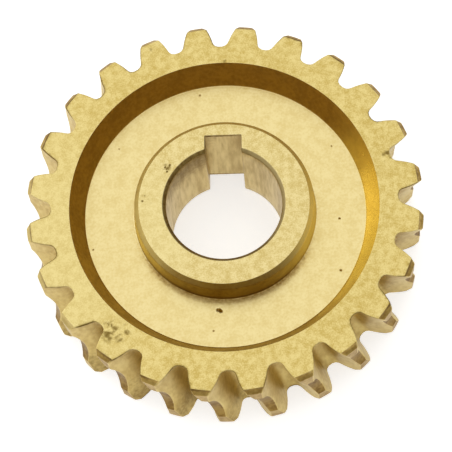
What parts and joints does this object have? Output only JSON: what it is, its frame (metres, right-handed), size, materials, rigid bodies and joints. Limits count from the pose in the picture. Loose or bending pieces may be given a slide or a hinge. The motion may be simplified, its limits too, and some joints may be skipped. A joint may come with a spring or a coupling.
{
  "type": "worm wheel",
  "caption": "Throated bronze worm wheel with left-hand helical teeth, recessed web, and a hub bored and keyed for a shaft, from a snow blower auger gearbox.",
  "frame": {"origin": "centre of the bore, half way between the two hub faces", "axes": "+Z along the bore axis, +Y through the middle of the keyway, +X to its right"},
  "size_m": [0.0856, 0.0856, 0.022],
  "materials": {
    "bronze": "turned and hobbed bare bronze, satin, with brown stains on the walls, flanks and chamfers"
  },
  "bodies": {
    "root": {"worm_wheel": "bronze"}
  },
  "joints": []
}
